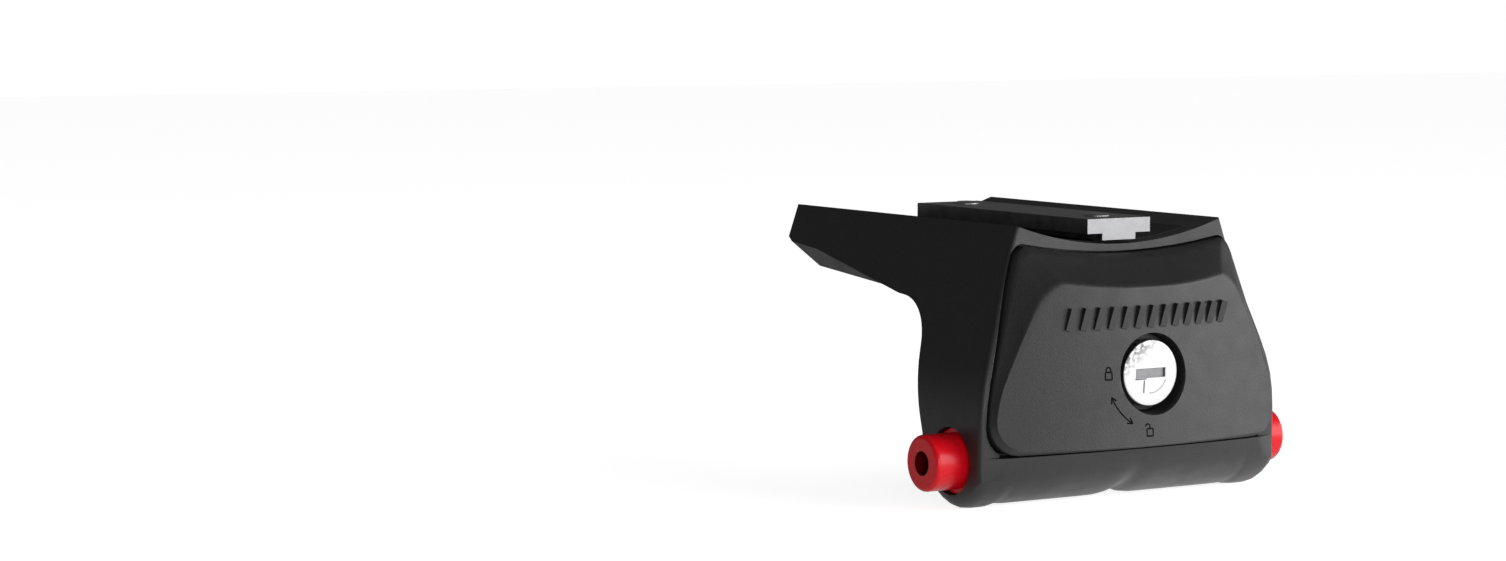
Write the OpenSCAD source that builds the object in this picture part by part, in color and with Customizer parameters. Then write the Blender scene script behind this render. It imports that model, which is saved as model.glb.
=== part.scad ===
// Foot of an aerodynamic roof bar: a moulded body with a saddle for the bar, an arm along
// the bar, a lockable cover over the clamp bolt, and a cross barrel with two pivot plugs.
// The origin is the middle of the barrel's axis. +X runs along the barrel, +Y inboard
// along the bar, +Z up. The cover and its lock face -Y.

/* [Body] */
// Width of the body over the ends of its barrel
body_w = 85; // [76:0.5:96]
// Height of the saddle's outer edges above the barrel axis
edge_z = 53.4; // [52:0.1:60]
// How far the arm reaches inboard of the barrel axis
arm_reach = 86.5; // [80:0.5:100]
// Radius of the saddle that the bar lies in
saddle_r = 88; // [80:1:110]
// Lean of each side wall, in millimetres across for each millimetre up
side_lean = 0.35; // [0.3:0.01:0.38]
// Radius that joins the leaning side walls to the upright ones
side_r = 46; // [36:1:54]
// Height at which the side walls start to lean in
lean_from_z = 8; // [6:0.5:10]
// Outer radius of the barrel at the foot
barrel_r = 12; // [11.5:0.1:13]
// Radius of the body's front corners at the barrel, between side walls and rim
corner_r = 1.8; // [1:0.1:2.6]
// Radius of the same corners at the saddle
shoulder_r = 1.2; // [0.8:0.1:2]
// How far the rim leans back from the barrel to the saddle
rim_back = 4.9; // [3:0.1:6]
// How much further out the barrel's front stands at the middle than at its ends
barrel_crown = 2.8; // [1:0.1:4]
// Radius of the hollow corner between neck and arm
neck_fillet_r = 14; // [8:0.5:18]
// Thickness of the walls round the inner cavity
wall = 3.4; // [2.8:0.1:4]

/* [Cover] */
// Width of the body's rim that frames the cover
rim_w = 1.5; // [1.3:0.1:2.5]
// Gap between cover and body
seam = 0.45; // [0.3:0.05:0.7]
// Wall thickness of the cover
cover_wall = 2.4; // [2:0.1:3]
// How far the cover's edge sits inside the body
edge_depth = 3; // [2.4:0.1:4]
// Height of the cover's lower edge
cover_bottom_z = 2.2; // [1.8:0.1:3.5]
// Height of the cover's upper edge at its middle
cover_top_z = 46.4; // [45:0.1:47]
// How far the cover's face stands out from its edge at lock height
cover_rise = 8.1; // [7:0.1:9]
// Backward lean of the cover's face, in millimetres for each millimetre up
face_lean = 0.09; // [0.05:0.01:0.15]
// Radius of the cover's crown from side to side
crown_r = 120; // [100:5:160]
// Radius of the cover's pegs
peg_r = 2; // [1.5:0.1:2.4]

/* [Grip ribs] */
// Number of ribs on the cover
rib_count = 13; // [8:1:14]
// Distance from one rib to the next
rib_pitch = 3.6; // [3:0.1:3.8]
// Height of the row of ribs
rib_h = 5; // [3:0.5:6]
// How far the ribs stand out
rib_rise = 0.8; // [0.4:0.1:1.2]

/* [Pivot] */
// Diameter of the hole through both plugs
pivot_bore_d = 5.5; // [5:0.1:6.6]
// Distance over the outer ends of the plugs
plug_span = 100.4; // [94:0.2:106]
// Outer diameter of the plugs
plug_d = 13; // [12:0.1:14]
// Diameter of the plugs' flanges
flange_d = 15; // [14.4:0.1:16]
// Thickness of the plugs' flanges
flange_t = 1; // [0.8:0.1:1.4]
// Depth of the seats for the flanges in the barrel's ends
seat_depth = 2.5; // [2:0.1:3]
// Outer diameter of the steel pivot tube
tube_d = 12; // [11.4:0.1:12.6]
// Wall of the steel pivot tube
tube_wall = 1; // [0.8:0.1:1.2]
// Length of each plug's spigot inside the tube
spigot_l = 15; // [10:0.5:20]

/* [Lock] */
// Height of the lock above the barrel axis
lock_z = 19.5; // [19:0.1:20.5]
// Diameter of the lock's face
lock_face_d = 15.4; // [14.4:0.1:16]
// Depth from the cover's face to the lock's face
lock_set_back = 1.3; // [0.6:0.1:2]
// Diameter of the lock's rotating core
core_d = 11; // [10:0.1:12]
// Width of the key slot
key_w = 8.5; // [7:0.1:9]
// Height of the key slot
key_h = 2.2; // [1.8:0.1:2.6]
// Reach of the locking cam from the lock's axis
cam_reach = 11.9; // [11:0.1:12]
// Thickness of the locking cam
cam_t = 2; // [1.5:0.1:2.5]
// Thickness of the steel keeper that the locked cam stands behind
keeper_t = 2; // [1.5:0.1:2.5]

/* [Clamp] */
// Diameter of the clamp bolts
bolt_d = 6; // [5:0.5:6]
// Diameter of the clamp bolts' heads
bolt_head_d = 10.5; // [10:0.1:11]
// Height of the clamp bolts' heads
bolt_head_h = 4; // [3.3:0.1:4.4]
// Diameter of the washers under the heads
washer_d = 12.4; // [11.6:0.1:12.6]
// Thickness of the washers
washer_t = 1.6; // [1:0.1:1.8]
// Place of the bolt behind the cover, inboard of the barrel axis
inner_bolt_y = 2; // [1:0.5:3]
// Place of the bolt in the arm, inboard of the barrel axis
outer_bolt_y = 55; // [48:1:62]
// Thickness of the plastic under the saddle that the bolts clamp
roof_t = 5.4; // [5:0.1:5.8]
// Thickness of the lips of the bar's channel, held between pad and clamp plate
lip_t = 2; // [1.5:0.1:3]
// Width of the clamp plate's head
plate_w = 18; // [15:0.5:20]
// Width of the clamp plate's stem, between the lips
stem_w = 9.6; // [9:0.1:11]
// Thickness of the clamp plate's head
plate_t = 3.5; // [3:0.1:4]
// Length of the clamp plate
plate_l = 70; // [64:1:74]
// Thickness of the rubber pad in the saddle
pad_t = 1.2; // [0.8:0.1:1.6]

/* [Hidden] */
$fn = 64;

// Clearances
slide_gap = 0.3;
run_gap = 0.05;
thread_gap = 0.05;
eps = 0.01;
over = 20;

// Body
half_w = body_w / 2;
lean_angle = atan(side_lean);
side_end_z = lean_from_z + side_r * sin(lean_angle);
side_heights = concat([-over, 0], [for (i = [0:8]) lerp(lean_from_z, side_end_z, i / 8)],
    [edge_z + over]);
saddle_edge_x = 29.2;
saddle_low_z = edge_z - saddle_r + sqrt(pow(saddle_r, 2) - pow(saddle_edge_x, 2));
barrel_y = -1;
barrel_z = 0.5;
nose_top_z = cover_bottom_z - seam;
nose_flat = 0.7;
nose_bottom_z = barrel_z - barrel_r + nose_flat;
nose_depth = nose_top_z - nose_bottom_z;
nose_proud = 0.9;
rim_y = barrel_y - barrel_r + nose_proud;
rim_z = [13, 50];
neck_y = barrel_y + barrel_r + 0.2;
neck_z = 5.4;
neck_lean = 0.285;
arm_under_z = 35.6;
arm_under_y = 31;
arm_rise = 0.075;
tip_z = edge_z - 7.9;
tip_cut = 12;
bevel_y = 72.3;
bevel_z = 43.3;
bevel_start_z = 36.9;
bevel_lean = 26.6;
end_round = 3;
foot_step = 0.4;
foot_x = half_w - 9.5;
foot_scallop = [0.6, 1.6];
middle_scallop = [1.4, 2.9];
cavity_edge = rim_w + 3.7;
cavity_top_z = saddle_low_z - roof_t;
cavity_bottom_z = nose_top_z;
core_r = barrel_r - 1;
peg_places = [[24.5, 37.5], [34.8, 17]];
boss_r = 4.2;
peg_l = 7;

// Cover
edge_top_rise = 0.0032;
edge_corner = [7, 3];
face_bottom_z = 3.4;
face_top_z = 39.3;
face_corner = [7, 5];
// Inset of the face from the body's sides at its foot, and how fast it grows with height
face_inset = [2.6, 6];
face_y = rim_y - cover_rise;
rib_z = 32.6;
rib_w = 1.7;
rib_tilt = 14;

// Lock, from its face inwards
lock_face_y = face_y + lock_set_back;
disc_t = 2.6;
housing_flange_y = lock_face_y + disc_t + 0.2;
flange_seat_y = housing_flange_y + 1.5;
recess_r = lock_face_d / 2 + 1.7;
housing_r = 7.8;
housing_flange_r = recess_r - 0.55;
housing_end_y = -3;
boss_end_y = -7.6;
cover_boss_r = 10.8;
clip_t = 1.2;
plug_end_y = 1.4;
cam_y = 2;
cam_hub_r = 5.4;
cam_w = 7;
tang_r = 3;
wafer_t = 0.9;
wafer_pitch = 2;
wafer_count = 5;
wafer_h = 5.2;
keeper_y = cam_y - slide_gap - keeper_t;
keeper_x = [7.6, 29];
keeper_z = [14, 25];
keeper_boss_x = 17.6;
screw_d = 3;
screw_head_d = 5.2;
screw_head_h = 1.8;
screw_end_y = 8.6;
keeper_screw_x = 24;
keeper_screw_z = [16.6, 22.4];

// Pivot
plug_end_x = plug_span / 2;
seat_x = half_w - seat_depth;
tube_bore_r = tube_d / 2 - tube_wall;

// Clamp
pad_top_z = saddle_low_z + 0.3;
lip_top_z = pad_top_z + lip_t;
plate_z = lip_top_z + 0.1;
plate_y = (inner_bolt_y + outer_bolt_y) / 2;
bolt_tip_z = plate_z + plate_t + 0.6;
washer_z = cavity_top_z - washer_t;
head_z = washer_z - bolt_head_h;
bolt_hole_r = bolt_d / 2 + 0.3;
counterbore_r = washer_d / 2 + 0.5;
pad_l = 74;
pad_w = 44;

body_black = [0.06, 0.06, 0.065];
cover_black = [0.09, 0.09, 0.095];
signal_red = [0.85, 0.06, 0.05];
zinc = [0.72, 0.72, 0.74];
nickel = [0.82, 0.82, 0.82];
brass_yellow = [0.75, 0.6, 0.3];
pad_grey = [0.12, 0.12, 0.12];

function lerp(a, b, t) = a + (b - a) * t;
function ramp(t) = t < 0 ? 0 : t > 1 ? 1 : t * t * (3 - 2 * t);

// Half width of the body's front outline at height z, drawn in by a distance
function side_x(z, inset = 0) =
    let (r = side_r - inset, c = half_w - side_r, line_z = lean_from_z + r * sin(lean_angle))
    z <= lean_from_z ? half_w - inset
    : z <= line_z ? c + sqrt(pow(r, 2) - pow(z - lean_from_z, 2))
    : c + r * cos(lean_angle) - side_lean * (z - line_z);

// Front edge of the body's rim at height z
function rim_at(z) = rim_y + rim_back * ramp((z - rim_z[0]) / (rim_z[1] - rim_z[0]));

// Radius of the front corners at height z
function corner_at(z) = lerp(corner_r, shoulder_r, max(0, z) / edge_z);

// How far the middle of the body's front stands out past its ends
function crown_at(x) = barrel_crown * (1 - pow(x / half_w, 2));

// How far the rounded corner falls back behind the rim
function corner_dent(x, z) =
    let (r = corner_at(z), d = min(r, max(0, abs(x) - side_x(z) + r))) r - sqrt(r * r - d * d);

// Front edge of the cover: flush with the rim at the sides, with the barrel at the bottom
function edge_y(x, z) = rim_at(z) + corner_dent(x, z)
    - (crown_at(x) + nose_proud) * (1 - ramp((z - cover_bottom_z) / 12));

// The cover's crowned and leaning face
function face_at(x, z) = face_y + face_lean * (z - lock_z) + x * x / (2 * crown_r);

// Points of an arc, and the inner points of a straight stretch
function arc_points(cx, cz, r, from, n = 5) =
    [for (i = [0:n]) [cx + r * cos(from + 90 * i / n), cz + r * sin(from + 90 * i / n)]];
function between(p, q, n) = [for (i = [1:n - 1]) lerp(p, q, i / n)];

// A rectangle with round corners, low and high, centred on x = 0
function round_box(w, z0, z1, r) =
    let (a = [w, z0 + r[0]], b = [w, z1 - r[1]], c = [w - r[1], z1], d = [w - r[0], z0])
    concat(
        arc_points(w - r[0], z0 + r[0], r[0], -90), between(a, b, 7),
        arc_points(w - r[1], z1 - r[1], r[1], 0), between(c, [-c[0], c[1]], 9),
        arc_points(r[1] - w, z1 - r[1], r[1], 90), between([-b[0], b[1]], [-a[0], a[1]], 7),
        arc_points(r[0] - w, z0 + r[0], r[0], 180), between([-d[0], d[1]], d, 9));

// The same outline bent to the leaning sides, with its top edge following the saddle
function bent(points, inset, z0, z1) =
    [for (p = points)
        let (x = p[0] * side_x(p[1], inset[0] + inset[1] * pow((p[1] - z0) / (z1 - z0), 2)) / half_w)
        [x, p[1] + edge_top_rise * x * x * ramp((p[1] - 20) / (z1 - 20))]];
function edge_outline(gap) =
    bent(round_box(half_w, cover_bottom_z - seam + gap, cover_top_z + seam - gap, edge_corner),
        [rim_w + gap, 0], cover_bottom_z, cover_top_z);
function face_outline(inset) =
    bent(round_box(half_w, face_bottom_z + inset, face_top_z - inset, face_corner),
        face_inset + [inset, 0], face_bottom_z, face_top_z);

// A closed solid through rings of equal length, with a fan of triangles at each end
module loft(rings, tips) {
    n = len(rings[0]);
    k = len(rings);
    points = concat([for (r = rings) each r], tips);
    sides = [for (j = [0:k - 2], i = [0:n - 1])
        let (a = j * n + i, b = j * n + (i + 1) % n)
        each [[a, b + n, b], [a, a + n, b + n]]];
    back = [for (i = [0:n - 1]) [i, (i + 1) % n, k * n]];
    front = [for (i = [0:n - 1]) [(k - 1) * n + i, k * n + 1, (k - 1) * n + (i + 1) % n]];
    polyhedron(points, concat(sides, back, front), convexity = 6);
}

// Shapes drawn in the side view (Y across, Z up) and in the front view (X across, Z up)
module along_x(x0, x1) {
    translate([x0, 0, 0]) rotate([90, 0, 90]) linear_extrude(x1 - x0) children();
}
module along_y(y0, y1) {
    translate([0, y1, 0]) rotate([90, 0, 0]) linear_extrude(y1 - y0) children();
}
module rod_x(x0, x1, r) {
    translate([x0, 0, 0]) rotate([0, 90, 0]) cylinder(h = x1 - x0, r = r);
}
module rod_y(y0, y1, r) {
    translate([0, y0, 0]) rotate([-90, 0, 0]) cylinder(h = y1 - y0, r = r);
}
module both_sides() {
    children();
    mirror([1, 0, 0]) children();
}
module block(low, high) {
    translate(low) cube(high - low);
}

// Front view of the body, drawn in by a distance
module front_outline(inset = 0) {
    side = [for (z = side_heights) [side_x(z, inset), z]];
    polygon(concat(side, [for (i = [len(side) - 1:-1:0]) [-side[i][0], side[i][1]]]));
}

// Side view of neck and arm
module side_outline() {
    under = [1, arm_rise] / norm([1, arm_rise]);
    down = [-neck_lean, -1] / norm([neck_lean, 1]);
    corner_z = (arm_under_z + arm_rise * (neck_y - neck_lean * neck_z - arm_under_y))
        / (1 - arm_rise * neck_lean);
    corner = [neck_y + neck_lean * (corner_z - neck_z), corner_z];
    half_angle = acos(under * down) / 2;
    reach = neck_fillet_r / tan(half_angle);
    mid = (under + down) / norm(under + down);
    fillet_at = corner + mid * neck_fillet_r / sin(half_angle);
    cut_y = arm_reach - tip_cut;
    cut_z = arm_under_z + arm_rise * (cut_y - arm_under_y);
    top_z = edge_z + over / 2;
    polygon([[-over, top_z], [arm_reach, top_z], [arm_reach, tip_z], [cut_y, cut_z], corner,
        [neck_y, neck_z], [barrel_y + barrel_r, nose_top_z], [-over, nose_top_z]]);
    difference() {
        polygon([corner - mid * 2, corner + under * reach, fillet_at, corner + down * reach]);
        translate(fillet_at) circle(neck_fillet_r);
    }
}

// Three flats, as upright curved strips, that round the body's front corners
module rounded_corners() {
    // These heights stay apart from the steps of the side walls and the rim
    heights = [for (z = [0.5 - over:4:edge_z + over]) z];
    both_sides() for (a = [22, 45, 68]) rotate([0, 0, -a])
        along_y(-arm_reach * 2, arm_reach * 2) polygon(concat(
            [[arm_reach, heights[0]]],
            [for (z = heights)
                let (r = corner_at(z))
                [(side_x(z) - r) * cos(a) - (rim_at(z) + r) * sin(a) + r, z]],
            [[arm_reach, heights[len(heights) - 1]]]));
}

// Everything behind the rim's front edge, or behind a line parallel to it
module behind_rim(shift) {
    heights = [for (i = [0:12]) lerp(rim_z[0], rim_z[1], i / 12)];
    polygon(concat([[arm_reach + over, -over], [rim_y + shift, -over]],
        [for (z = heights) [rim_at(z) + shift, z]],
        [[rim_y + rim_back + shift, edge_z + over], [arm_reach + over, edge_z + over]]));
}

// The rounded lower half of the barrel: crowned at the front, rounded at its ends, with
// shallow scallops in its underside
module nose() {
    near_middle = [0.8, 1.6, 2.4, 3.2, 4.1, 5.2, 6.6, 9];
    from_end = [13, 11.8, 11, 10.2, 9.5, 8.8, 8, 7.2, 6, 4.5, 3.2, 2.3, 1.6, 1, 0.5, 0.15, 0];
    right = concat(near_middle, [for (i = [1:4]) lerp(9, half_w - 13, i / 5)],
        [for (d = from_end) half_w - d]);
    stations = concat([for (i = [len(right) - 1:-1:0]) -right[i]], [0], right);
    angles = [for (i = [0:14]) 180 + 180 * i / 14];
    function end_drop(x) =
        let (d = max(0, abs(x) - half_w + end_round))
        end_round - sqrt(max(0, pow(end_round, 2) - d * d));
    function scallop(x) = foot_scallop[0] * exp(-pow((abs(x) - foot_x) / foot_scallop[1], 2))
        + middle_scallop[0] * exp(-pow(x / middle_scallop[1], 2))
        + foot_step * ramp((foot_x - abs(x)) / 3);
    function ring(x) = [for (a = angles)
        let (front = max(0, -cos(a)), low = -sin(a), reach = barrel_r + front * (crown_at(x) + 0.2))
        [x, barrel_y + reach * cos(a), nose_top_z - (nose_depth - end_drop(x) - scallop(x)) * low]];
    rings = [for (x = stations) ring(x)];
    n = len(angles);
    k = len(stations);
    points = [for (r = rings) each r];
    skin = [for (j = [0:k - 2], i = [0:n - 1])
        let (a = j * n + i, b = j * n + (i + 1) % n)
        each [[a, b + n, b], [a, a + n, b + n]]];
    first = [for (i = [0:n - 1]) i];
    last = [for (i = [n - 1:-1:0]) (k - 1) * n + i];
    polyhedron(points, concat(skin, [first, last]), convexity = 4);
}

// The space behind the cover, down to the neck's inner wall, grown into its walls by a depth
module cavity(grow = 0) {
    low_z = cavity_bottom_z - grow;
    top_z = cavity_top_z + grow;
    intersection() {
        along_y(-over * 2, over * 2) intersection() {
            front_outline(cavity_edge - grow);
            translate([-half_w, low_z]) square([body_w, top_z - low_z]);
        }
        along_x(-half_w, half_w) polygon([
            [-over * 2, low_z],
            [neck_y - wall + grow + neck_lean * (low_z - neck_z), low_z],
            [neck_y - wall + grow + neck_lean * (top_z - neck_z), top_z],
            [-over * 2, top_z]]);
    }
}

module foot_body() {
    color(body_black) difference() {
        union() {
            difference() {
                intersection() {
                    along_y(-over * 2, arm_reach + over) front_outline();
                    along_x(-half_w, half_w) intersection() {
                        side_outline();
                        behind_rim(0);
                    }
                }
                // Pocket for the cover's edge, then the cavity behind it
                difference() {
                    along_y(-over * 2, over) polygon(edge_outline(0));
                    along_x(-half_w, half_w) behind_rim(edge_depth + slide_gap);
                }
                cavity();
            }
            // Barrel wall across the cavity, behind the pocket
            intersection() {
                translate([0, barrel_y, barrel_z]) rod_x(-half_w + 2, half_w - 2, core_r);
                along_x(-half_w, half_w) behind_rim(edge_depth + slide_gap);
                block([-half_w, -over, nose_top_z], [half_w, over, over]);
            }
            // Bosses for the cover's pegs and for the keeper
            intersection() {
                union() {
                    both_sides() for (p = peg_places)
                        translate([p[0], 0, p[1]])
                            rod_y(rim_at(p[1] + boss_r) + edge_depth + slide_gap, over, boss_r);
                    block([keeper_boss_x, cam_y - slide_gap, keeper_z[0] - 1.5],
                        [keeper_x[1] + 1, over, keeper_z[1] + 1.5]);
                }
                cavity(wall / 2);
            }
        }
        // Saddle
        translate([0, -over * 2, saddle_low_z + saddle_r])
            rotate([-90, 0, 0]) cylinder(h = arm_reach + over * 4, r = saddle_r, $fn = 360);
        barrel_bore();
        // Peg sockets
        both_sides() for (p = peg_places)
            translate([p[0], 0, p[1]])
                rod_y(rim_at(p[1]), rim_at(p[1]) + edge_depth + peg_l + 1, peg_r + 0.1);
        // Keeper screws
        for (z = keeper_screw_z)
            translate([keeper_screw_x, 0, z]) rod_y(0, screw_end_y + 0.9, screw_d / 2);
        // Clamp bolts, with a counterbore from below for the outer one
        for (y = [inner_bolt_y, outer_bolt_y])
            translate([0, y, cavity_top_z - 1]) cylinder(h = over, r = bolt_hole_r);
        translate([0, outer_bolt_y, 0]) cylinder(h = cavity_top_z, r = counterbore_r);
        rounded_corners();
        // Shallow seat for the rubber pad
        pad_shape(0);
        // Bevels along the arm's lower edges
        both_sides() arm_bevel();
    }
}

// Bore of the barrel and the seats of the plugs' flanges
module barrel_bore() {
    rod_x(-half_w - over, half_w + over, tube_d / 2);
    both_sides() rod_x(seat_x, half_w + over, flange_d / 2 + slide_gap);
}

// Lower half shell of the barrel, flush with the body above it
module barrel_cap() {
    color(body_black) difference() {
        nose();
        barrel_bore();
        rounded_corners();
    }
}

// Wedge that bevels the arm's lower side edge, deepest at the tip
module arm_bevel() {
    intersection() {
        translate([side_x(bevel_z), bevel_y, bevel_z])
            rotate([atan2(bevel_z - bevel_start_z, bevel_y - arm_under_y), 0, 0])
                rotate([0, bevel_lean, 0])
                    translate([0, -arm_reach, -over]) cube([over, arm_reach * 2, over]);
        block([0, arm_under_y, 0], [half_w, arm_reach + over, edge_z]);
    }
}

// A strip of the saddle's surface, cut to the pad's length and width
module pad_shape(gap) {
    intersection() {
        difference() {
            translate([0, -3 + gap, saddle_low_z + saddle_r - 0.3])
                rotate([-90, 0, 0])
                    cylinder(h = pad_l - 2 * gap, r = saddle_r + pad_t - 0.3, $fn = 360);
            translate([0, -over, saddle_low_z + saddle_r + 0.3])
                rotate([-90, 0, 0]) cylinder(h = arm_reach + over * 2, r = saddle_r, $fn = 360);
        }
        block([-pad_w / 2 + gap, -3 + gap, 0], [pad_w / 2 - gap, pad_l - 3 - gap, edge_z]);
    }
}

module saddle_pad() {
    color(pad_grey) difference() {
        pad_shape(0.1);
        for (y = [inner_bolt_y, outer_bolt_y])
            translate([0, y, 0]) cylinder(h = edge_z, r = bolt_hole_r + 0.7);
    }
}

module pivot_tube() {
    color(zinc) difference() {
        rod_x(-seat_x, seat_x, tube_d / 2);
        rod_x(-half_w, half_w, tube_bore_r);
    }
}

module pivot_plug() {
    edge = 1;
    difference() {
        union() {
            rotate([0, 90, 0]) rotate_extrude() {
                translate([0, seat_x - spigot_l]) square([tube_bore_r - run_gap, spigot_l + 1]);
                translate([0, seat_x + run_gap]) square([flange_d / 2, flange_t]);
                translate([0, seat_x + run_gap])
                    square([plug_d / 2, plug_end_x - edge - seat_x - run_gap]);
                translate([0, plug_end_x - edge - eps]) square([plug_d / 2 - edge, edge + eps]);
                translate([plug_d / 2 - edge, plug_end_x - edge]) circle(edge);
            }
        }
        rod_x(0, plug_end_x + over, pivot_bore_d / 2);
    }
}

module right_pivot_plug() {
    color(signal_red) pivot_plug();
}

module left_pivot_plug() {
    color(signal_red) mirror([1, 0, 0]) pivot_plug();
}

module keeper_plate() {
    color(zinc) difference() {
        block([keeper_x[0], keeper_y, keeper_z[0]], [keeper_x[1], keeper_y + keeper_t, keeper_z[1]]);
        for (z = keeper_screw_z)
            translate([keeper_screw_x, 0, z]) rod_y(keeper_y - 1, over, screw_d / 2 + 0.2);
        // Round notch that clears the lock's body
        translate([0, 0, lock_z]) rod_y(keeper_y - 1, over, housing_r + 1);
    }
}

module keeper_screws() {
    color(zinc) for (z = keeper_screw_z)
        translate([keeper_screw_x, keeper_y, z]) difference() {
            union() {
                rod_y(-screw_head_h, 0, screw_head_d / 2);
                rod_y(-0.5, screw_end_y - keeper_y, screw_d / 2);
            }
            rod_y(-screw_head_h - 1, -screw_head_h + 1, screw_d / 3, $fn = 6);
        }
}

// The cover's outer skin, from its edge inside the pocket to its crowned face
module cover_skin() {
    edge = edge_outline(seam);
    face = face_outline(0);
    // Each step: share of the way from edge outline to face outline, then share outwards
    steps = [[0, 0.05], [0.01, 0.2], [0.08, 0.31], [0.22, 0.42], [0.5, 0.62], [0.78, 0.83],
        [0.91, 0.93], [0.98, 0.98], [1.05, 1]];
    function step_ring(f, g) = [for (i = [0:len(edge) - 1])
        let (p = lerp(edge[i], face[i], f))
        [p[0], lerp(edge_y(edge[i][0], edge[i][1]), face_at(p[0], p[1]), g), p[1]]];
    function face_ring(s) = [for (p = face)
        let (x = p[0] * s, z = lock_z + (p[1] - lock_z) * s)
        [x, face_at(x, z), z]];
    back = [for (p = edge) [p[0], rim_at(p[1]) + edge_depth, p[1]]];
    front = [for (p = edge) [p[0], edge_y(p[0], p[1]), p[1]]];
    loft(concat([back, front], [for (s = steps) step_ring(s[0], s[1])],
        [face_ring(0.96), face_ring(0.78), face_ring(0.5), face_ring(0.25)]),
        [[0, edge_depth + rim_y, lock_z], [0, face_at(0, lock_z), lock_z]]);
}

// The hollow inside the cover, one wall thickness in from its skin
module cover_hollow() {
    edge = edge_outline(seam + cover_wall);
    face = face_outline(cover_wall * 0.7);
    steps = [[0.05, 0.25], [0.45, 0.6], [0.9, 0.92], [1.05, 1]];
    function step_ring(f, g) = [for (i = [0:len(edge) - 1])
        let (p = lerp(edge[i], face[i], f))
        [p[0], cover_wall + lerp(edge_y(edge[i][0], edge[i][1]), face_at(p[0], p[1]), g), p[1]]];
    function face_ring(s) = [for (p = face)
        let (x = p[0] * s, z = lock_z + (p[1] - lock_z) * s)
        [x, cover_wall + face_at(x, z), z]];
    back = [for (p = edge) [p[0], rim_at(p[1]) + edge_depth + 1, p[1]]];
    loft(concat([back], [for (s = steps) step_ring(s[0], s[1])],
        [face_ring(0.6), face_ring(0.3)]),
        [[0, edge_depth + 1 + rim_y, lock_z], [0, cover_wall + face_at(0, lock_z), lock_z]]);
}

module cover() {
    color(cover_black) difference() {
        union() {
            difference() {
                cover_skin();
                cover_hollow();
            }
            // Boss that carries the lock, clear of the barrel
            difference() {
                translate([0, 0, lock_z])
                    rod_y(face_y + cover_wall / 2 + 0.6, boss_end_y, cover_boss_r);
                translate([0, barrel_y, barrel_z]) rod_x(-half_w, half_w, core_r + slide_gap);
            }
            // Pegs that locate the cover in the body
            both_sides() for (p = peg_places)
                translate([p[0], 0, p[1]])
                    rod_y(face_at(p[0], p[1]) + cover_wall / 2 + 0.4,
                        rim_at(p[1]) + edge_depth + peg_l, peg_r);
            grip_ribs();
        }
        // Funnel round the lock's face, and the hole for its housing
        translate([0, 0, lock_z]) {
            translate([0, flange_seat_y, 0]) rotate([90, 0, 0])
                cylinder(h = 8, r1 = recess_r - 0.5, r2 = recess_r + 0.2);
            rod_y(-over * 2, over, housing_r + run_gap);
        }
    }
}

// A row of raised slanted ribs across the upper face
module grip_ribs() {
    for (i = [0:rib_count - 1]) {
        x = (i - (rib_count - 1) / 2) * rib_pitch;
        y = face_at(x, rib_z);
        translate([x, y, rib_z]) rotate([0, rib_tilt, 0]) rotate([atan(face_lean), 0, 0])
            block([-rib_w / 2, -rib_rise, -rib_h / 2], [rib_w / 2, 1, rib_h / 2]);
    }
}

module lock_housing() {
    color(zinc) translate([0, 0, lock_z]) difference() {
        union() {
            rod_y(housing_flange_y, flange_seat_y, housing_flange_r);
            rod_y(housing_flange_y, housing_end_y, housing_r);
        }
        rod_y(-over * 2, over, core_d / 2 + run_gap);
        // Groove for the clip behind the cover's boss
        difference() {
            rod_y(boss_end_y, boss_end_y + clip_t, housing_r + 1);
            rod_y(boss_end_y - 1, boss_end_y + clip_t + 1, housing_r - 0.9);
        }
    }
}

// Horseshoe clip pushed into the housing's groove from above
module housing_clip() {
    color(zinc) translate([0, 0, lock_z]) difference() {
        rod_y(boss_end_y, boss_end_y + clip_t, housing_r + 2);
        rod_y(boss_end_y - 1, boss_end_y + clip_t + 1, housing_r - 0.9);
        block([-housing_r + 0.9, boss_end_y - 1, -over], [housing_r - 0.9, over, 0]);
    }
}

module lock_plug() {
    groove_y = housing_end_y + 0.1;
    color(nickel) translate([0, 0, lock_z]) difference() {
        union() {
            rotate([-90, 0, 0]) rotate_extrude() {
                translate([0, lock_face_y]) square([lock_face_d / 2 - 0.4, disc_t]);
                translate([0, lock_face_y + 0.4]) square([lock_face_d / 2, disc_t - 0.4]);
                translate([lock_face_d / 2 - 0.4, lock_face_y + 0.4]) circle(0.4);
            }
            rod_y(lock_face_y + disc_t - eps, plug_end_y, core_d / 2);
            intersection() {
                rod_y(plug_end_y - eps, cam_y + cam_t - 0.05, tang_r);
                block([-tang_r, 0, -tang_r + 0.8], [tang_r, over, tang_r - 0.8]);
            }
        }
        // Key slot, and the wider space where the shutter swings
        block([-key_w / 2, lock_face_y - 1, -key_h / 2], [key_w / 2, -2, key_h / 2]);
        block([-key_w / 2 - 0.3, lock_face_y + 0.55, -key_h / 2 - 0.3],
            [key_w / 2 + 0.3, lock_face_y + 3.6, key_h / 2 + 0.3]);
        // Wafer slots
        for (i = [0:wafer_count - 1])
            wafer_at(i) block([-over, -wafer_t / 2 - run_gap, -wafer_h / 2 - run_gap],
                [over, wafer_t / 2 + run_gap, wafer_h / 2 + run_gap]);
        // Groove for the plug's clip, and the screw's thread
        difference() {
            rod_y(groove_y, groove_y + clip_t, core_d);
            rod_y(groove_y - 1, groove_y + clip_t + 1, core_d / 2 - 0.9);
        }
        rod_y(-1.9, over, screw_d / 2);
    }
}

module wafer_at(i) {
    translate([0, lock_face_y + 5.4 + i * wafer_pitch, 0]) children();
}

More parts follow.
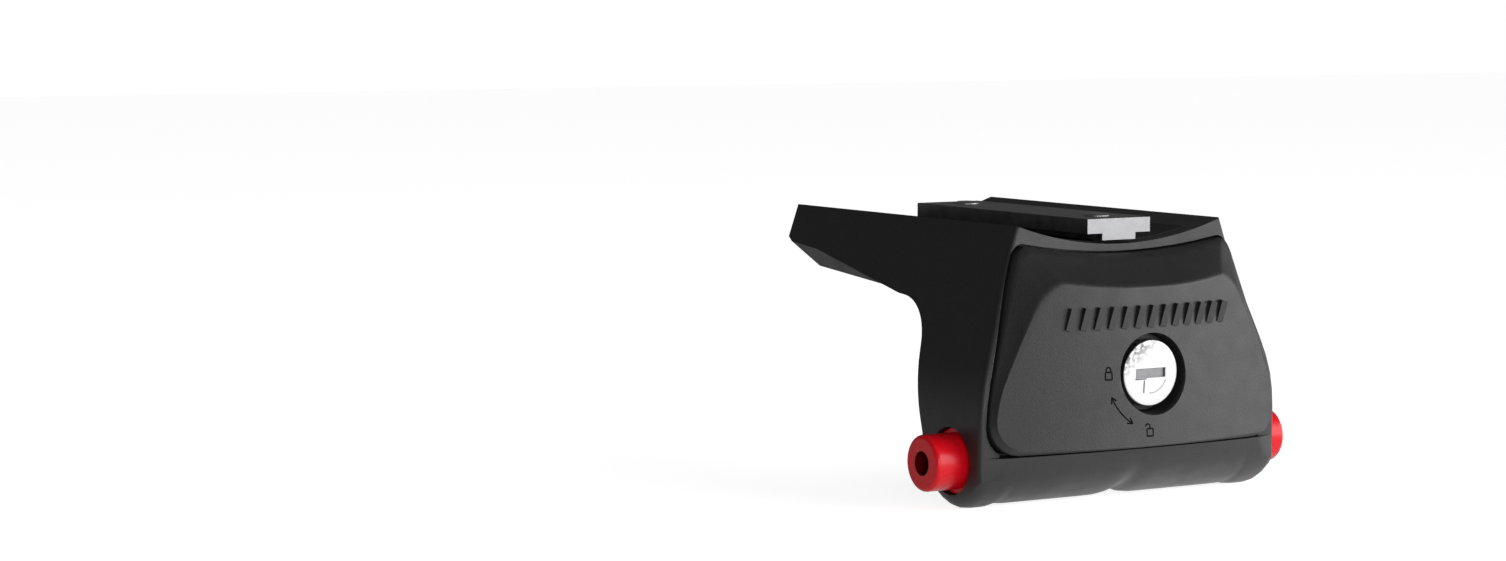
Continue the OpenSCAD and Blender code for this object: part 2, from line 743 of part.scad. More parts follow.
// Spring steel shutter that closes the key slot behind the face
module key_shutter() {
    color(zinc) translate([0, lock_face_y + 0.6, lock_z]) {
        block([-key_w / 2 + 0.1, 0, -key_h / 2 - 0.15], [key_w / 2 - 0.1, 0.4, key_h / 2 - 0.1]);
        translate([0, 0.45, key_h / 2 - 0.15]) rod_x(-key_w / 2 + 0.1, key_w / 2 - 0.1, 0.4);
    }
}

module lock_wafers() {
    half = core_d / 2 - 0.7;
    color(brass_yellow) translate([0, 0, lock_z]) for (i = [0:wafer_count - 1]) wafer_at(i)
        difference() {
            intersection() {
                block([-half, -wafer_t / 2, -wafer_h / 2], [half, wafer_t / 2, wafer_h / 2]);
                rod_y(-1, 1, core_d / 2 - 0.1);
            }
            block([-key_w / 2 + 0.8 - 0.3 * (i % 3), -1, -key_h / 2], [key_w / 2 - 0.8, 1, key_h / 2]);
        }
}

module plug_clip() {
    y = housing_end_y + 0.1;
    color(zinc) translate([0, 0, lock_z]) difference() {
        rod_y(y, y + clip_t, core_d / 2 + 1.2);
        rod_y(y - 1, y + clip_t + 1, core_d / 2 - 0.9);
        block([-core_d / 2 + 0.9, y - 1, 0], [core_d / 2 - 0.9, over, over]);
    }
}

// Cam that points up when the lock is open, and sideways behind the keeper when it is locked
module lock_cam() {
    color(zinc) translate([0, cam_y, lock_z]) difference() {
        union() {
            rod_y(0, cam_t, cam_hub_r);
            block([-cam_w / 2, 0, 0], [cam_w / 2, cam_t, cam_reach - cam_w / 2]);
            translate([0, 0, cam_reach - cam_w / 2]) rod_y(0, cam_t, cam_w / 2);
        }
        intersection() {
            rod_y(-1, cam_t + 1, tang_r);
            block([-tang_r, -1, -tang_r + 0.8], [tang_r, over, tang_r - 0.8]);
        }
    }
}

module cam_screw() {
    color(zinc) translate([0, cam_y + cam_t, lock_z]) difference() {
        union() {
            rod_y(0, 1.8, tang_r + 0.4);
            rod_y(-5.4, 0.1, screw_d / 2);
        }
        rod_y(0.7, 2, 1.1, $fn = 6);
    }
}

// T-shaped nut bar that slides in the bar's channel
module clamp_plate() {
    color(zinc) difference() {
        translate([0, plate_y - plate_l / 2, 0]) {
            block([-plate_w / 2, 0, plate_z], [plate_w / 2, plate_l, plate_z + plate_t]);
            block([-stem_w / 2, 0, plate_z - lip_t + 0.4], [stem_w / 2, plate_l, plate_z + eps]);
        }
        for (y = [inner_bolt_y, outer_bolt_y])
            translate([0, y, 0]) cylinder(h = edge_z + over, r = bolt_d / 2 + thread_gap);
    }
}

// Low-headed socket bolt, head down
module clamp_bolt() {
    socket_r = 2.3;
    color(zinc) difference() {
        union() {
            translate([0, 0, head_z]) cylinder(h = bolt_head_h, r = bolt_head_d / 2);
            translate([0, 0, head_z]) cylinder(h = bolt_tip_z - head_z - 0.5, r = bolt_d / 2);
            translate([0, 0, bolt_tip_z - 0.5])
                cylinder(h = 0.5, r1 = bolt_d / 2, r2 = bolt_d / 2 - 0.5);
        }
        translate([0, 0, head_z - 1]) cylinder(h = 1 + bolt_head_h * 0.6, r = socket_r, $fn = 6);
    }
}

module clamp_washer() {
    color(zinc) translate([0, 0, washer_z]) difference() {
        cylinder(h = washer_t, r = washer_d / 2);
        translate([0, 0, -1]) cylinder(h = washer_t + 2, r = bolt_d / 2 + 0.1);
    }
}

module inner_clamp_bolt() {
    translate([0, inner_bolt_y, 0]) clamp_bolt();
}

module outer_clamp_bolt() {
    translate([0, outer_bolt_y, 0]) clamp_bolt();
}

module inner_washer() {
    translate([0, inner_bolt_y, 0]) clamp_washer();
}

module outer_washer() {
    translate([0, outer_bolt_y, 0]) clamp_washer();
}

foot_body();
barrel_cap();
saddle_pad();
pivot_tube();
left_pivot_plug();
right_pivot_plug();
keeper_plate();
keeper_screws();
cover();
lock_housing();
housing_clip();
lock_plug();
key_shutter();
lock_wafers();
plug_clip();
lock_cam();
cam_screw();
clamp_plate();
inner_clamp_bolt();
inner_washer();
outer_clamp_bolt();
outer_washer();
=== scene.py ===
"""Looks of the roof bar foot: finishes, small marks on its faces, studio light and camera.

Sizes are in metres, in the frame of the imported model. Signs are drawn in millimetres.
"""

import math

import bmesh
import bpy
from mathutils import Matrix, Vector
from mathutils.bvhtree import BVHTree


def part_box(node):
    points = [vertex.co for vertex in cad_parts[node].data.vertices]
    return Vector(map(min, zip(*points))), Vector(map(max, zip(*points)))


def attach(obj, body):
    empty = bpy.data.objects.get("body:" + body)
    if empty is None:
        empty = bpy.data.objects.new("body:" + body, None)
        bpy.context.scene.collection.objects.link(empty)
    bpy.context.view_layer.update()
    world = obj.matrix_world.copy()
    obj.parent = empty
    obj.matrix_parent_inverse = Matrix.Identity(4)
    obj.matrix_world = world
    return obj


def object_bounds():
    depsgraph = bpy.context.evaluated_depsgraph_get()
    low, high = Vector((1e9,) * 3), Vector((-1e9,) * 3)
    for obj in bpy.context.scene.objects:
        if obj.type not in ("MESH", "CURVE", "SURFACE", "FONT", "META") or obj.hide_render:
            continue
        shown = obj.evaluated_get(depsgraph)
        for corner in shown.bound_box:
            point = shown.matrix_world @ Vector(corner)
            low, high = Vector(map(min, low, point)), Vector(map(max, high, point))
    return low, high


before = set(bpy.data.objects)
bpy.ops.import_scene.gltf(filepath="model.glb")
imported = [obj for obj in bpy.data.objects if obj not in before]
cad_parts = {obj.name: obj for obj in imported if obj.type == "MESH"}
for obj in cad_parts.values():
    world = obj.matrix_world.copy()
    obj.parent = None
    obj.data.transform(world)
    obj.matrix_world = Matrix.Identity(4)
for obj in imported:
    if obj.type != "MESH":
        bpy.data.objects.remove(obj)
CAD_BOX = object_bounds()
MM = 0.001

# Camera: the photograph's view of the pivot axis, found by fitting the foot's outline
PHOTO_WIDTH, PHOTO_HEIGHT = 1506, 561
FOCAL_PIXELS = 3380
ORIGIN_PIXEL = (1100.0, 448.1)
CAMERA_YAW = math.radians(31.1)
CAMERA_TILT = math.radians(4.9)
CAMERA_DEPTH = 0.790
CLIP_START, CLIP_END = 0.01, 20
SENSOR_WIDTH = 36

# Lock face, from the frame, and the height of its centre in millimetres
LOCK_LOW, LOCK_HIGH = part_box("lock_plug")
LOCK_CENTRE = Vector((0, LOCK_LOW.y, (LOCK_LOW.z + LOCK_HIGH.z) / 2))
LOCK_MIDDLE = LOCK_CENTRE.z / MM


def make_camera():
    """Creates the camera at the photograph's viewing angle."""
    level = Vector((math.sin(CAMERA_YAW), math.cos(CAMERA_YAW), 0))
    right = Vector((level.y, -level.x, 0))
    forward = level * math.cos(CAMERA_TILT) - Vector((0, 0, math.sin(CAMERA_TILT)))
    up = right.cross(forward)
    across = (ORIGIN_PIXEL[0] - PHOTO_WIDTH / 2) / FOCAL_PIXELS * CAMERA_DEPTH
    above = -(ORIGIN_PIXEL[1] - PHOTO_HEIGHT / 2) / FOCAL_PIXELS * CAMERA_DEPTH
    place = -(right * across + up * above + forward * CAMERA_DEPTH)
    data = bpy.data.cameras.new("camera")
    data.sensor_width = SENSOR_WIDTH
    data.lens = SENSOR_WIDTH * FOCAL_PIXELS / PHOTO_WIDTH
    data.clip_start, data.clip_end = CLIP_START, CLIP_END
    camera = bpy.data.objects.new("camera", data)
    turn = Matrix((right, up, -forward)).transposed().to_4x4()
    camera.matrix_world = Matrix.Translation(place) @ turn
    bpy.context.scene.collection.objects.link(camera)
    bpy.context.scene.camera = camera


# Node helpers

def add(tree, kind, inputs=None, **settings):
    """Adds a node and sets its options and unlinked inputs."""
    node = tree.nodes.new(kind)
    for key, value in settings.items():
        setattr(node, key, value)
    for key, value in (inputs or {}).items():
        node.inputs[key].default_value = value
    return node


def link(tree, source, target):
    """Links a node's output to another node's input."""
    tree.links.new(source, target)


def feed(tree, value, target):
    """Links an output to an input, or sets the input to a constant."""
    if isinstance(value, bpy.types.NodeSocket):
        link(tree, value, target)
    else:
        target.default_value = value


def calculate(tree, operation, *values):
    """The result of an operation on numbers, each an output or a constant."""
    node = add(tree, "ShaderNodeMath", operation=operation)
    for value, target in zip(values, node.inputs):
        feed(tree, value, target)
    return node.outputs["Value"]


def calculate_vector(tree, operation, *values):
    """The result of an operation on vectors, each an output or a constant."""
    node = add(tree, "ShaderNodeVectorMath", operation=operation)
    for value, target in zip(values, node.inputs):
        feed(tree, value, target)
    return node.outputs["Value" if operation in ("DOT_PRODUCT", "LENGTH") else "Vector"]


def grey(value, blue=1.0):
    """A grey colour, with its blue scaled."""
    return (value, value, value * blue, 1)


def start_material(name, **inputs):
    """A new material with the constants of its shader set on the shader's own sockets."""
    material = bpy.data.materials.new(name)
    material.use_nodes = True
    tree = material.node_tree
    shader = tree.nodes["Principled BSDF"]
    for key, value in inputs.items():
        shader.inputs[key.replace("_", " ")].default_value = value
    place = add(tree, "ShaderNodeTexCoord").outputs["Object"]
    return material, tree, shader, place


def noise(tree, place, size, detail=3.0, stretch=None):
    """Noise whose features are about one size, stretched along an axis if asked."""
    if stretch:
        scaled = add(tree, "ShaderNodeMapping", {"Scale": stretch})
        link(tree, place, scaled.inputs["Vector"])
        place = scaled.outputs["Vector"]
    node = add(tree, "ShaderNodeTexNoise", {"Scale": 1 / size, "Detail": detail})
    link(tree, place, node.inputs["Vector"])
    return node.outputs["Fac"]


def spread(tree, value, low, high, start=0.3, end=0.7):
    """Maps the range from start to end, usually the middle of a noise's, to low to high."""
    node = add(tree, "ShaderNodeMapRange",
               {"From Min": start, "From Max": end, "To Min": low, "To Max": high})
    link(tree, value, node.inputs["Value"])
    return node.outputs["Result"]


def tint(tree, value, first, second, start=0.3, end=0.7):
    """Blends two colours, each an output or a constant, as a value goes from start to end."""
    node = add(tree, "ShaderNodeMix", data_type="RGBA")
    feed(tree, first, node.inputs["A"])
    feed(tree, second, node.inputs["B"])
    link(tree, spread(tree, value, 0, 1, start, end), node.inputs["Factor"])
    return node.outputs["Result"]


def bump(tree, shader, height, depth, strength, below=None):
    """Adds a bump of a real depth, over another one if given."""
    node = add(tree, "ShaderNodeBump", {"Distance": depth, "Strength": strength})
    link(tree, height, node.inputs["Height"])
    if below:
        link(tree, below, node.inputs["Normal"])
    link(tree, node.outputs["Normal"], shader.inputs["Normal"])
    return node.outputs["Normal"]


# Materials

BLACK_SHADE = 0.018
BLACK_GRAIN = 0.35 * MM
# Radii between which the red plugs turn from the painted shade inside their bore to red
BORE_PAINTED_SHADE = (2.85 * MM, 2.95 * MM)
# The direction of the worn patch from the centre of the lock's face, and the distances between
# which it sets in
WORN_TOWARD = (-0.62, 0, 0.78)
WORN_RANGE = (3.4 * MM, 6.4 * MM)


def moulded_black(name, roughness):
    """Fine-grained black moulding: grain, faint cloudiness and slightly worn gloss."""
    material, tree, shader, place = start_material(name, Specular_IOR_Level=0.45)
    cloud = noise(tree, place, 14 * MM)
    fine = noise(tree, place, BLACK_GRAIN, detail=2)
    dark, light = grey(BLACK_SHADE * 0.8, 1.05), grey(BLACK_SHADE * 1.2, 1.06)
    link(tree, tint(tree, fine, dark, light), shader.inputs["Base Color"])
    gloss = spread(tree, noise(tree, place, 5 * MM), roughness - 0.04, roughness + 0.05)
    link(tree, gloss, shader.inputs["Roughness"])
    broad = bump(tree, shader, cloud, 0.03 * MM, 0.6)
    bump(tree, shader, fine, 0.06 * MM, 0.8, broad)
    return material


def glossy_red():
    """Glossy moulded red with a faint moulding flow, and painted shade in the plugs' bore."""
    material, tree, shader, place = start_material("red_plastic", Specular_IOR_Level=0.35)
    flow = noise(tree, place, 6 * MM, stretch=(0.4, 1, 1))
    red = tint(tree, flow, (0.95, 0.004, 0.014, 1), (1.0, 0.006, 0.02, 1))
    radius = calculate_vector(tree, "LENGTH",
                              calculate_vector(tree, "MULTIPLY", place, (0, 1, 1)))
    # Painted shade: near-black red inside the bore's radius, red outside it
    shaded = tint(tree, radius, (0.12, 0.0, 0.002, 1), red, *BORE_PAINTED_SHADE)
    link(tree, shaded, shader.inputs["Base Color"])
    link(tree, spread(tree, flow, 0.22, 0.32), shader.inputs["Roughness"])
    bump(tree, shader, noise(tree, place, 2.5 * MM), 0.02 * MM, 0.5)
    return material


def scratched_nickel():
    """Bright plate with fine scratches, handling marks and a worn patch."""
    material, tree, shader, place = start_material("bright_nickel", Metallic=1.0)
    marks = noise(tree, place, 1.0 * MM, detail=8)
    centred = calculate_vector(tree, "SUBTRACT", place, LOCK_CENTRE)
    outward = calculate_vector(tree, "DOT_PRODUCT", centred, WORN_TOWARD)
    side = spread(tree, outward, 0, 1, *WORN_RANGE)
    blotch = spread(tree, marks, 1, 0, 0.44, 0.56)
    worn = calculate(tree, "MULTIPLY", side, blotch)
    link(tree, tint(tree, worn, grey(0.5), grey(0.16), 0, 1), shader.inputs["Base Color"])
    link(tree, spread(tree, marks, 0.42, 0.3), shader.inputs["Roughness"])
    across = noise(tree, place, 0.5 * MM, detail=4, stretch=(0.08, 1, 1.6))
    along = noise(tree, place, 0.5 * MM, detail=4, stretch=(1.4, 1, 0.1))
    first = bump(tree, shader, across, 0.012 * MM, 0.4)
    second = bump(tree, shader, along, 0.01 * MM, 0.3, first)
    bump(tree, shader, marks, 0.03 * MM, 0.4, second)
    return material


def zinc_plate(name, shade=0.45, pitch=None):
    """Zinc-plated steel with a spangled gloss, and a thread's ridges where a pitch is given."""
    material, tree, shader, place = start_material(name, Metallic=1.0)
    spangle = noise(tree, place, 3 * MM, detail=4)
    dark, light = grey(shade * 0.8, 1.04), grey(shade * 1.1, 1.03)
    link(tree, tint(tree, spangle, dark, light), shader.inputs["Base Color"])
    link(tree, spread(tree, spangle, 0.32, 0.46), shader.inputs["Roughness"])
    normal = bump(tree, shader, noise(tree, place, 0.5 * MM), 0.02 * MM, 0.4)
    if pitch:
        # At a scale of 1 a wave texture repeats every 2 pi / 20
        wave = add(tree, "ShaderNodeTexWave", {"Scale": 2 * math.pi / pitch / 20},
                   bands_direction="Z", wave_profile="TRI")
        link(tree, place, wave.inputs["Vector"])
        bump(tree, shader, wave.outputs["Fac"], 0.3 * MM, 0.8, normal)
    return material


def stamped_brass():
    """Brass with the fine upright lines of a stamped edge."""
    material, tree, shader, place = start_material("wafer_brass", Metallic=1.0)
    cloud = noise(tree, place, 1.5 * MM, detail=4)
    link(tree, tint(tree, cloud, (0.6, 0.42, 0.16, 1), (0.76, 0.58, 0.26, 1)),
         shader.inputs["Base Color"])
    link(tree, spread(tree, cloud, 0.25, 0.4), shader.inputs["Roughness"])
    bump(tree, shader, noise(tree, place, 0.3 * MM, stretch=(1, 1, 0.1)), 0.01 * MM, 0.5)
    return material


def matt_rubber():
    """Black rubber with a fine grain."""
    material, tree, shader, place = start_material("pad_rubber", Specular_IOR_Level=0.3)
    cloud = noise(tree, place, 8 * MM)
    link(tree, tint(tree, cloud, grey(0.012), grey(0.02)), shader.inputs["Base Color"])
    link(tree, spread(tree, cloud, 0.75, 0.9), shader.inputs["Roughness"])
    bump(tree, shader, noise(tree, place, 0.35 * MM), 0.05 * MM, 0.7)
    return material


def groove_painted_shade():
    """Painted shade: the near-black floor of an engraved line."""
    material, tree, shader, place = start_material("groove_painted_shade", Specular_IOR_Level=0.1)
    cloud = noise(tree, place, 1 * MM)
    link(tree, tint(tree, cloud, grey(0.0015), grey(0.003)), shader.inputs["Base Color"])
    link(tree, spread(tree, cloud, 0.8, 0.9), shader.inputs["Roughness"])
    return material


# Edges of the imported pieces

WELD_WITHIN = 0.005 * MM
FLAT_BELOW = math.radians(0.1)
ROUNDED_ABOVE = math.radians(28)
SHARP_ABOVE = math.radians(35)
ROUND_SEGMENTS = 3
# Height of the plane where the barrel's lower half meets the body, and how near an edge of it is
SPLIT_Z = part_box("barrel_cap")[1].z
SPLIT_WITHIN = 0.01 * MM


def mesh_group(name):
    """A new group of geometry nodes, with its input and its output, that changes one mesh."""
    group = bpy.data.node_groups.new(name, "GeometryNodeTree")
    for way in ("INPUT", "OUTPUT"):
        group.interface.new_socket("Geometry", in_out=way, socket_type="NodeSocketGeometry")
    return group, add(group, "NodeGroupInput"), add(group, "NodeGroupOutput")


def above(group, value, limit):
    """Whether a value is greater than a limit."""
    node = add(group, "FunctionNodeCompare", data_type="FLOAT", operation="GREATER_THAN")
    node.inputs["B"].default_value = limit
    link(group, value, node.inputs["A"])
    return node.outputs["Result"]


def edge_angle(group):
    """The angle between the faces at each edge."""
    return add(group, "GeometryNodeInputMeshEdgeAngle").outputs["Unsigned Angle"]


def weighting_group():
    """Geometry nodes that mark sharp edges for rounding, but not those at the barrel's split."""
    group, start, end = mesh_group("round_by_angle")
    parts = add(group, "ShaderNodeSeparateXYZ")
    link(group, add(group, "GeometryNodeInputPosition").outputs[0], parts.inputs[0])
    away = calculate(group, "ABSOLUTE", calculate(group, "SUBTRACT", parts.outputs["Z"], SPLIT_Z))
    both = add(group, "FunctionNodeBooleanMath", operation="AND")
    link(group, above(group, edge_angle(group), ROUNDED_ABOVE), both.inputs[0])
    link(group, above(group, away, SPLIT_WITHIN), both.inputs[1])
    store = add(group, "GeometryNodeStoreNamedAttribute", {"Name": "bevel_weight_edge"},
                data_type="FLOAT", domain="EDGE")
    link(group, start.outputs[0], store.inputs["Geometry"])
    link(group, both.outputs[0], store.inputs["Value"])
    link(group, store.outputs[0], end.inputs[0])
    return group


def smoothing_group():
    """Geometry nodes that shade a mesh smooth and keep its sharp edges."""
    group, start, end = mesh_group("smooth_by_angle")
    clear = add(group, "GeometryNodeRemoveAttribute", {"Name": "custom_normal"})
    faces = add(group, "GeometryNodeSetShadeSmooth", {"Shade Smooth": True}, domain="FACE")
    edges = add(group, "GeometryNodeSetShadeSmooth", {"Shade Smooth": False}, domain="EDGE")
    link(group, start.outputs[0], clear.inputs["Geometry"])
    link(group, clear.outputs[0], faces.inputs["Geometry"])
    link(group, faces.outputs[0], edges.inputs["Geometry"])
    link(group, above(group, edge_angle(group), SHARP_ABOVE), edges.inputs["Selection"])
    link(group, edges.outputs[0], end.inputs[0])
    return group


SMOOTHING = smoothing_group()
WEIGHTING = weighting_group()


def soften(piece, width):
    """Rounds a piece's edges, if a width is given, and shades its curves smooth."""
    piece.modifiers.new("weld", "WELD").merge_threshold = WELD_WITHIN
    if width:
        flat = piece.modifiers.new("flat", "DECIMATE")
        flat.decimate_type = "DISSOLVE"
        flat.angle_limit = FLAT_BELOW
        piece.modifiers.new("marks", "NODES").node_group = WEIGHTING
        edge = piece.modifiers.new("edge", "BEVEL")
        edge.width = width
        edge.segments = ROUND_SEGMENTS
        edge.limit_method = "WEIGHT"
        edge.use_clamp_overlap = True
    piece.modifiers.new("smooth", "NODES").node_group = SMOOTHING
    piece.modifiers.new("weighted", "WEIGHTED_NORMAL").keep_sharp = True


def dress_nodes():
    """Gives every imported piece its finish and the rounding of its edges, in millimetres."""
    body = moulded_black("body_plastic", 0.44)
    cover = moulded_black("cover_plastic", 0.42)
    red, nickel, brass, rubber = glossy_red(), scratched_nickel(), stamped_brass(), matt_rubber()
    zinc, thread = zinc_plate("zinc_plate"), zinc_plate("zinc_thread", pitch=1 * MM)
    blackened = zinc_plate("black_zinc", shade=0.03)
    # Darker zinc for the shutter: painted shade of its place inside the key slot
    shutter = zinc_plate("shutter_painted_shade", shade=0.2)
    dull = zinc_plate("dull_zinc", shade=0.25)
    finishes = {
        "foot_body": (body, 0.35), "barrel_cap": (body, 0.35),
        "cover": (cover, 0.25), "saddle_pad": (rubber, 0.2),
        "left_pivot_plug": (red, 0), "right_pivot_plug": (red, 0), "pivot_tube": (zinc, 0.2),
        "keeper_plate": (zinc, 0.15), "keeper_screws": (zinc, 0.1),
        "lock_housing": (blackened, 0.15), "housing_clip": (zinc, 0.1),
        "lock_plug": (nickel, 0.12), "key_shutter": (shutter, 0.05),
        "lock_wafers": (brass, 0.05), "plug_clip": (zinc, 0.1),
        "lock_cam": (zinc, 0.2), "cam_screw": (zinc, 0.1),
        "clamp_plate": (dull, 0.3), "inner_washer": (zinc, 0.1), "outer_washer": (zinc, 0.1),
        "inner_clamp_bolt": (thread, 0.2), "outer_clamp_bolt": (thread, 0.2)}
    for name, (material, edge) in finishes.items():
        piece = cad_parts[name]
        piece.data.materials.clear()
        piece.data.materials.append(material)
        soften(piece, edge * MM)


# Marks on the faces of the cover and the lock, drawn in the front view

COVER_FACE = BVHTree.FromPolygons(
    [v.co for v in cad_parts["cover"].data.vertices],
    [tuple(p.vertices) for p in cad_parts["cover"].data.polygons])
LINE_WIDTH = 0.4 * MM
LINE_RISE = 0.03 * MM
# Corners of a line's section: across in half widths, outward in rises
LINE_SECTION = ((1, -1), (0.8, 1), (-0.8, 1), (-1, -1))
# Length of a line's pieces in millimetres, short enough to follow the cover's face
LINE_STEP = 0.25

# Double arrow under the lock: its radius, the angles of its ends, and the half width and the
# angle of its barbs
ARROW_RADIUS = 12.8
ARROW_TAIL, ARROW_HEAD = -158, -121
BARB_WIDTH, BARB_ANGLE = 0.75, 6
CLOSED_SIGN, OPEN_SIGN = (-12.4, 20.4), (-1.9, 7.1)


def on_cover(x, z):
    """The point of the cover's face at x and z, in millimetres, and its normal."""
    return COVER_FACE.ray_cast(Vector((x * MM, -1, z * MM)), Vector((0, 1, 0)))[:2]


def on_lock(x, z):
    """The point of the lock's flat face at x and z, in millimetres, and its normal."""
    return Vector((x * MM, LOCK_CENTRE.y, z * MM)), Vector((0, -1, 0))


def polar(z, radius, angle):
    """The point at a radius and an angle, from +X towards +Z, round the point (0, z)."""
    turn = math.radians(angle)
    return radius * math.cos(turn), z + radius * math.sin(turn)


def arc(z, radius, start, end, steps=10):
    """Points of an arc round the point (0, z)."""
    return [polar(z, radius, start + (end - start) * i / steps) for i in range(steps + 1)]


def dense(points):
    """The same line with more points, so that it follows the face."""
    result = [points[0]]
    for a, b in zip(points, points[1:]):
        count = max(1, round(math.dist(a, b) / LINE_STEP))
        result += [(a[0] + (b[0] - a[0]) * i / count, a[1] + (b[1] - a[1]) * i / count)
                   for i in range(1, count + 1)]
    return result


def engraved_lines(name, lines, material, width=LINE_WIDTH, surface=on_cover, body="cover",
                   slot="cover_plastic"):
    """Thin strips along a face, one for each line, that look like engraving."""
    mesh = bmesh.new()
    for line in lines:
        rings = []
        points = dense(line)
        for i, (x, z) in enumerate(points):
            before, after = points[max(0, i - 1)], points[min(len(points) - 1, i + 1)]
            place, normal = surface(x, z)
            along = Vector((after[0] - before[0], 0, after[1] - before[1]))
            side = along.cross(normal).normalized() * width / 2
            rise = normal * LINE_RISE
            rings.append([mesh.verts.new(place + side * s + rise * h) for s, h in LINE_SECTION])
        for a, b in zip(rings, rings[1:]):
            for i in range(4):
                j = (i + 1) % 4
                mesh.faces.new((a[i], a[j], b[j], b[i]))
        mesh.faces.new(rings[0][::-1])
        mesh.faces.new(rings[-1])
    bmesh.ops.recalc_face_normals(mesh, faces=mesh.faces)
    data = bpy.data.meshes.new(name)
    mesh.to_mesh(data)
    mesh.free()
    data.materials.append(material)
    piece = bpy.data.objects.new(name, data)
    bpy.context.scene.collection.objects.link(piece)
    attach(piece, body)


def padlock(x, z, opened):
    """Lines of a small padlock sign around a point: its body and its shackle."""
    half, height, shackle, leg = 0.85, 1.7, 0.6, 0.5
    body = [(-half, 0), (half, 0), (half, -height), (-half, -height), (-half, 0)]
    shift = -shackle if opened else 0
    bow = [(shift + shackle, 0)] + [(shift + u, w + leg) for u, w in arc(0, shackle, 0, 180)]
    if not opened:
        bow.append((-shackle, 0))
    return [[(x + u, z + w) for u, w in line] for line in (body, bow)]


def barbs(angle, way):
    """The line of an arrowhead at one end of the arrow, with its barbs towards the other."""
    back = angle + way * BARB_ANGLE
    return [polar(LOCK_MIDDLE, ARROW_RADIUS + BARB_WIDTH, back),
            polar(LOCK_MIDDLE, ARROW_RADIUS, angle),
            polar(LOCK_MIDDLE, ARROW_RADIUS - BARB_WIDTH, back)]


def lock_signs():
    """Closed and open padlock and the double arrow between them, around the lock."""
    # Painted shade for the lines of the signs
    groove = groove_painted_shade()
    bend = arc(LOCK_MIDDLE, ARROW_RADIUS, ARROW_TAIL, ARROW_HEAD, 16)
    arrow = [bend, barbs(ARROW_HEAD, -1), barbs(ARROW_TAIL, 1)]
    engraved_lines("turn_arrow", arrow, groove)
    engraved_lines("closed_sign", padlock(*CLOSED_SIGN, False), groove)
    engraved_lines("open_sign", padlock(*OPEN_SIGN, True), groove)


def lock_marks():
    """Mark below the key slot that points to the open sign, painted slot shade, a rubbed arc."""
    # Dark zinc for the turn mark and for the painted shade along the slot
    shaded = zinc_plate("dark_mark_and_painted_shade", shade=0.08)
    rubbed = zinc_plate("rubbed_plate", shade=0.25)
    mark = [(-1.8, LOCK_MIDDLE - 1.6), (-1.95, LOCK_MIDDLE - 4.5)]
    # Painted shade: a dark line along the lower edge of the key slot
    shade = [(-4.4, LOCK_MIDDLE - 1.3), (-1.2, LOCK_MIDDLE - 1.3)]
    worn = arc(LOCK_MIDDLE, 4.6, -95, -22, 24)
    face = {"surface": on_lock, "body": "lock", "slot": "bright_nickel"}
    engraved_lines("turn_mark", [mark], shaded, **face)
    engraved_lines("painted_slot_shade", [shade], shaded, 0.3 * MM, **face)
    engraved_lines("rubbed_arc", [worn], rubbed, 0.25 * MM, **face)


# Studio

FLOOR_SIZE = 6.0
FLOOR_GLOW = 0.85
# The floor in reflections: its brightness behind the foot and in front of it, the direction
# towards the bright side, and the distances along it where the brightness changes
FLOOR_MIRRORED = (0.3, 1.0)
FLOOR_TOWARD = (0.8, -0.6, 0)
FLOOR_CHANGE = (-0.06, 0.01)
# The direction of the studio's bright side, and its brightness by how far one looks that way
WORLD_TOWARD = (0.77, -0.61, -0.15)
WORLD_LOBE = {"From Min": 0.4, "From Max": 1.0, "To Min": 0.09, "To Max": 1.0}
LAMP_AIM = Vector((0, 0.02, 0.02))


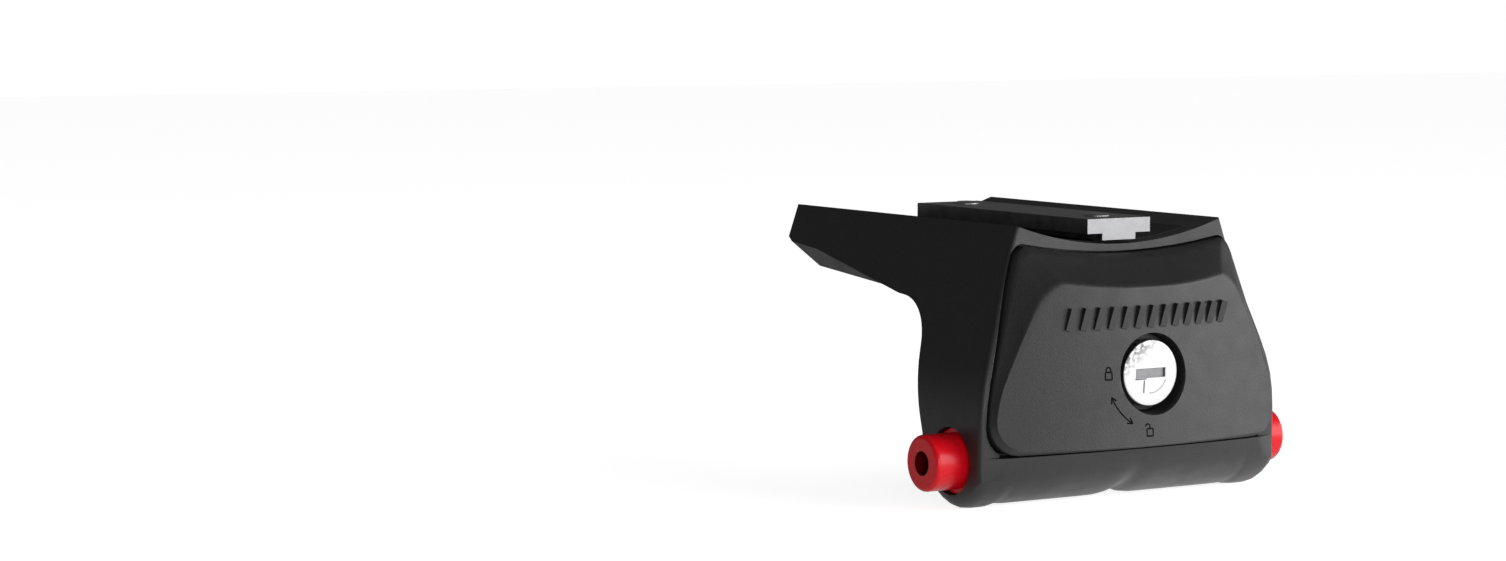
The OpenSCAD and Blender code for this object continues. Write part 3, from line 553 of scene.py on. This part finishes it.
def make_floor():
    """White floor that shows as the background and keeps the foot's soft shadow."""
    low, half = CAD_BOX[0].z, FLOOR_SIZE / 2
    corners = [(-half, -half, low), (half, -half, low), (half, half, low), (-half, half, low)]
    data = bpy.data.meshes.new("floor")
    data.from_pydata(corners, [], [(0, 1, 2, 3)])
    floor = bpy.data.objects.new("floor", data)
    bpy.context.scene.collection.objects.link(floor)
    material, tree, shader, place = start_material(
        "floor_white", Base_Color=grey(0.82), Roughness=0.9, Specular_IOR_Level=0.0,
        Emission_Color=grey(1.0))
    path = add(tree, "ShaderNodeLightPath")
    seen = calculate(tree, "MULTIPLY", path.outputs["Is Camera Ray"], FLOOR_GLOW)
    front = calculate_vector(tree, "DOT_PRODUCT", place, FLOOR_TOWARD)
    patch = spread(tree, front, *FLOOR_MIRRORED, *FLOOR_CHANGE)
    mirrored = calculate(tree, "MULTIPLY", path.outputs["Is Glossy Ray"], patch)
    link(tree, calculate(tree, "MAXIMUM", seen, mirrored), shader.inputs["Emission Strength"])
    data.materials.append(material)


def make_world():
    """White for the camera; for light and reflections a studio that is brightest in front."""
    world = bpy.data.worlds.new("studio")
    bpy.context.scene.world = world
    world.use_nodes = True
    tree = world.node_tree
    tree.nodes.clear()
    direction = add(tree, "ShaderNodeTexCoord").outputs["Generated"]
    lobe = add(tree, "ShaderNodeMapRange", WORLD_LOBE, interpolation_type="SMOOTHSTEP")
    link(tree, calculate_vector(tree, "DOT_PRODUCT", direction, WORLD_TOWARD),
         lobe.inputs["Value"])
    path = add(tree, "ShaderNodeLightPath")
    shown = add(tree, "ShaderNodeMix")
    link(tree, path.outputs["Is Camera Ray"], shown.inputs["Factor"])
    link(tree, lobe.outputs["Result"], shown.inputs["A"])
    shown.inputs["B"].default_value = 1.0
    background = add(tree, "ShaderNodeBackground", {"Color": (1, 1, 1, 1)})
    link(tree, shown.outputs["Result"], background.inputs["Strength"])
    output = add(tree, "ShaderNodeOutputWorld")
    link(tree, background.outputs[0], output.inputs["Surface"])


def make_lamp(name, place, size, power):
    """A square softbox that faces the foot."""
    data = bpy.data.lights.new(name, "AREA")
    data.size = size
    data.energy = power
    lamp = bpy.data.objects.new(name, data)
    lamp.location = place
    lamp.rotation_mode = "QUATERNION"
    lamp.rotation_quaternion = (LAMP_AIM - Vector(place)).to_track_quat("-Z", "Y")
    bpy.context.scene.collection.objects.link(lamp)


make_camera()
dress_nodes()
lock_signs()
lock_marks()
make_floor()
make_world()
make_lamp("key_softbox", (0.66, -0.66, 0.0), 1.2, 14.0)
make_lamp("left_softbox", (-0.4, -0.8, 0.08), 0.4, 3.0)
bpy.context.scene.view_settings.view_transform = "Standard"
